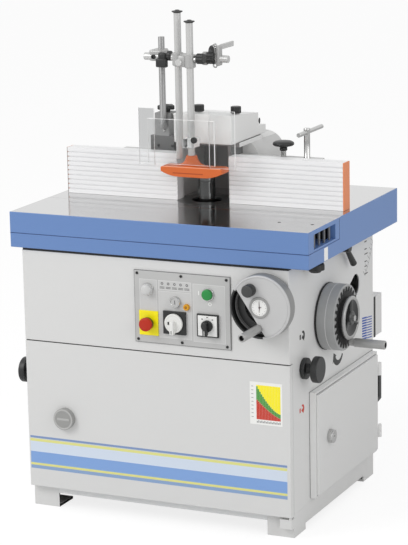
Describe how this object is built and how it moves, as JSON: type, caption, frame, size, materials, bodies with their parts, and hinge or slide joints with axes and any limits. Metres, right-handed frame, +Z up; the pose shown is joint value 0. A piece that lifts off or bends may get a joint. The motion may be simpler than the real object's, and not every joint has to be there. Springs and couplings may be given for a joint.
{
  "type": "spindle moulder",
  "caption": "Floor-standing spindle moulder: sheet cabinet, cast table with pull-out front, tilting spindle with two handwheels, fence, hood, pressure shoe and control panel.",
  "frame": {"origin": "centre of the four floor anchor holes, on the floor under the feet", "axes": "+Z up, +X to the operator's right along the table, +Y to the back of the machine"},
  "size_m": [1.08, 0.916, 1.467],
  "materials": {
    "panel_grey": "textured powder coat, light grey",
    "cast_ground": "ground top, painted sides",
    "cast_dark": "dark grey hammer paint",
    "steel": "ground steel",
    "bright": "bright chrome",
    "anodised": "anodised extrusion",
    "black_plastic": "moulded black",
    "dark_metal": "black enamel",
    "red_plastic": "moulded red",
    "green_plastic": "moulded green",
    "switch_white": "moulded white",
    "orange_plastic": "moulded orange",
    "belt_rubber": "ribbed belt",
    "wheel_grey": "smooth grey enamel",
    "clear": "clear sheet"
  },
  "bodies": {
    "machine_frame": {"cabinet_left_side": "panel_grey", "cabinet_right_side": "panel_grey", "cabinet_rear": "panel_grey", "cabinet_base": "panel_grey", "front_upper_panel": "panel_grey", "main_table": "cast_ground", "table_ring": "steel", "control_panel": "panel_grey", "control_fittings": "black_plastic", "electrical_box": "panel_grey", "electrical_gear": "switch_white", "lifting_bollards": "black_plastic", "tilt_quadrants": "cast_dark"},
    "pull_out": {"pull_out_table": "cast_ground", "pull_out_rods": "bright"},
    "pull_out_clamp": {"pull_out_clamp": "black_plastic"},
    "lower_door": {"lower_door": "panel_grey"},
    "door_lock": {"door_lock": "wheel_grey"},
    "electrical_door": {"electrical_door": "panel_grey"},
    "electrical_lock": {"electrical_lock": "bright"},
    "estop_button": {"estop_button": "red_plastic"},
    "key_switch": {"key_switch": "bright"},
    "start_button": {"start_button": "green_plastic"},
    "main_switch_knob": {"main_switch_knob": "switch_white"},
    "speed_switch_knob": {"speed_switch_knob": "black_plastic"},
    "tilt_wheel": {"tilt_handwheel": "wheel_grey", "tilt_worm_shaft": "steel", "tilt_dial": "switch_white"},
    "tilt_grip": {"tilt_grip": "anodised"},
    "tilt_wheel_knob": {"tilt_wheel_knob": "black_plastic"},
    "tilt_carriage": {"tilt_carriage": "cast_dark", "motor": "dark_metal", "drive_belt": "belt_rubber", "height_drum": "wheel_grey"},
    "motor_shaft": {"motor_shaft": "steel"},
    "spindle_pulley": {"spindle_pulley": "anodised"},
    "quill": {"quill": "steel", "quill_bearings": "bright"},
    "spindle": {"spindle": "steel", "spindle_collars": "steel"},
    "height_wheel": {"height_handwheel": "wheel_grey", "height_shaft": "steel"},
    "height_grip": {"height_grip": "anodised"},
    "height_clamp_ring": {"height_clamp_ring": "black_plastic"},
    "tilt_lock_lever": {"tilt_lock_lever": "black_plastic"},
    "fence_unit": {"fence_housing": "cast_dark", "hood": "panel_grey", "guard_post": "cast_dark"},
    "fence_plate_left": {"fence_plate_left": "anodised"},
    "fence_plate_right": {"fence_plate_right": "anodised"},
    "fence_clamp_knob": {"fence_clamp_knob": "black_plastic"},
    "fence_t_handle": {"fence_t_handle": "bright"},
    "hood_knob_left": {"hood_knob_left": "black_plastic"},
    "hood_knob_right": {"hood_knob_right": "black_plastic"},
    "post_knob": {"post_knob": "black_plastic"},
    "guard_arm": {"guard_arm": "bright"},
    "shoe_front": {"shoe_bar": "bright", "pressure_shoe": "orange_plastic", "clear_guard": "clear"},
    "rear_bar": {"rear_bar": "bright"}
  },
  "joints": [
    {"name": "pull_out_slide", "type": "slide", "parent": "machine_frame", "child": "pull_out", "axis": [0, -1, 0], "range_m": [0, 0.23]},
    {"name": "pull_out_clamp_turn", "type": "hinge", "parent": "machine_frame", "child": "pull_out_clamp", "pos_m": [0.454, -0.224, 0.782], "axis": [0, 0, 1], "range_deg": [-180, 180]},
    {"name": "lower_door_swing", "type": "hinge", "parent": "machine_frame", "child": "lower_door", "pos_m": [0.416, -0.335, 0.29], "axis": [0, 0, 1], "range_deg": [0, 100]},
    {"name": "door_lock_turn", "type": "hinge", "parent": "lower_door", "child": "door_lock", "pos_m": [-0.296, -0.342, 0.287], "axis": [0, 1, 0], "range_deg": [0, 90]},
    {"name": "electrical_door_swing", "type": "hinge", "parent": "machine_frame", "child": "electrical_door", "pos_m": [0.449, 0.305, 0.24], "axis": [0, 0, 1], "range_deg": [0, 120]},
    {"name": "electrical_lock_turn", "type": "hinge", "parent": "electrical_door", "child": "electrical_lock", "pos_m": [0.445, -0.107, 0.248], "axis": [1, 0, 0], "range_deg": [0, 90]},
    {"name": "estop_press", "type": "slide", "parent": "machine_frame", "child": "estop_button", "axis": [0, 1, 0], "range_m": [0, 0.006], "stiffness_N_per_m": 1500},
    {"name": "start_press", "type": "slide", "parent": "machine_frame", "child": "start_button", "axis": [0, 1, 0], "range_m": [0, 0.004], "stiffness_N_per_m": 1500},
    {"name": "key_turn", "type": "hinge", "parent": "machine_frame", "child": "key_switch", "pos_m": [0.075, -0.35, 0.671], "axis": [0, 1, 0], "range_deg": [0, 90]},
    {"name": "main_switch_turn", "type": "hinge", "parent": "machine_frame", "child": "main_switch_knob", "pos_m": [0.072, -0.35, 0.6105], "axis": [0, 1, 0], "range_deg": [0, 90]},
    {"name": "speed_switch_turn", "type": "hinge", "parent": "machine_frame", "child": "speed_switch_knob", "pos_m": [0.176, -0.35, 0.611], "axis": [0, 1, 0], "range_deg": [-45, 45]},
    {"name": "tilt_wheel_turn", "type": "hinge", "parent": "machine_frame", "child": "tilt_wheel", "pos_m": [0.354, -0.372, 0.688], "axis": [0, 1, 0], "range_deg": [0, 4500]},
    {"name": "tilt_grip_spin", "type": "hinge", "parent": "tilt_wheel", "child": "tilt_grip", "pos_m": [0.35, -0.45, 0.628], "axis": [0, 1, 0], "continuous": true},
    {"name": "tilt_wheel_knob_turn", "type": "hinge", "parent": "tilt_wheel", "child": "tilt_wheel_knob", "pos_m": [0.327, -0.4, 0.737], "axis": [0, 1, 0], "range_deg": [-180, 180]},
    {"name": "tilt", "type": "hinge", "parent": "machine_frame", "child": "tilt_carriage", "pos_m": [0.016, 0.008, 0.9], "axis": [1, 0, 0], "range_deg": [0, 45]},
    {"name": "motor_spin", "type": "hinge", "parent": "tilt_carriage", "child": "motor_shaft", "pos_m": [0.016, -0.182, 0.6], "axis": [0, 0, 1], "continuous": true},
    {"name": "spindle_pulley_spin", "type": "hinge", "parent": "tilt_carriage", "child": "spindle_pulley", "pos_m": [0.016, 0.008, 0.56], "axis": [0, 0, 1], "continuous": true},
    {"name": "quill_lift", "type": "slide", "parent": "tilt_carriage", "child": "quill", "axis": [0, 0, 1], "range_m": [-0.04, 0.04]},
    {"name": "spindle_spin", "type": "hinge", "parent": "quill", "child": "spindle", "pos_m": [0.016, 0.008, 0.8], "axis": [0, 0, 1], "continuous": true},
    {"name": "height_wheel_turn", "type": "hinge", "parent": "tilt_carriage", "child": "height_wheel", "pos_m": [0.48, -0.062, 0.595], "axis": [1, 0, 0], "range_deg": [-147, 147]},
    {"name": "height_grip_spin", "type": "hinge", "parent": "height_wheel", "child": "height_grip", "pos_m": [0.56, -0.062, 0.523], "axis": [1, 0, 0], "continuous": true},
    {"name": "height_clamp_turn", "type": "hinge", "parent": "tilt_carriage", "child": "height_clamp_ring", "pos_m": [0.483, -0.062, 0.595], "axis": [1, 0, 0], "range_deg": [-30, 30]},
    {"name": "tilt_lock_turn", "type": "hinge", "parent": "machine_frame", "child": "tilt_lock_lever", "pos_m": [0.44, 0.04, 0.779], "axis": [1, 0, 0], "range_deg": [0, 35]},
    {"name": "fence_slide", "type": "slide", "parent": "machine_frame", "child": "fence_unit", "axis": [0, 1, 0], "range_m": [-0.02, 0.03]},
    {"name": "fence_left_slide", "type": "slide", "parent": "fence_unit", "child": "fence_plate_left", "axis": [1, 0, 0], "range_m": [-0.06, 0.045]},
    {"name": "fence_right_slide", "type": "slide", "parent": "fence_unit", "child": "fence_plate_right", "axis": [1, 0, 0], "range_m": [-0.05, 0.06]},
    {"name": "fence_clamp_turn", "type": "hinge", "parent": "fence_unit", "child": "fence_clamp_knob", "pos_m": [0.23, 0.088, 1.05], "axis": [0, 0, 1], "range_deg": [-180, 180]},
    {"name": "fence_tee_turn", "type": "hinge", "parent": "fence_unit", "child": "fence_t_handle", "pos_m": [0.305, 0.088, 1.07], "axis": [0, 0, 1], "range_deg": [-60, 60]},
    {"name": "hood_knob_left_turn", "type": "hinge", "parent": "fence_unit", "child": "hood_knob_left", "pos_m": [-0.027, 0.055, 1.17], "axis": [0, 0, 1], "range_deg": [-180, 180]},
    {"name": "hood_knob_right_turn", "type": "hinge", "parent": "fence_unit", "child": "hood_knob_right", "pos_m": [0.093, 0.055, 1.17], "axis": [0, 0, 1], "range_deg": [-180, 180]},
    {"name": "post_knob_turn", "type": "hinge", "parent": "fence_unit", "child": "post_knob", "pos_m": [-0.145, 0.076, 1.155], "axis": [0, 0, 1], "range_deg": [-180, 180]},
    {"name": "guard_arm_slide", "type": "slide", "parent": "fence_unit", "child": "guard_arm", "axis": [0, 0, 1], "range_m": [-0.04, 0.04]},
    {"name": "shoe_slide", "type": "slide", "parent": "guard_arm", "child": "shoe_front", "axis": [0, 0, 1], "range_m": [-0.035, 0.09]},
    {"name": "rear_bar_slide", "type": "slide", "parent": "guard_arm", "child": "rear_bar", "axis": [0, 0, 1], "range_m": [0, 0.1]}
  ],
  "couplings": [
    {"joint": "tilt", "follows": "tilt_wheel_turn", "ratio": 0.01},
    {"joint": "quill_lift", "follows": "height_wheel_turn", "m_per_rad": 0.0155},
    {"joint": "spindle_pulley_spin", "follows": "spindle_spin", "ratio": 1},
    {"joint": "motor_spin", "follows": "spindle_spin", "ratio": 0.6129}
  ]
}
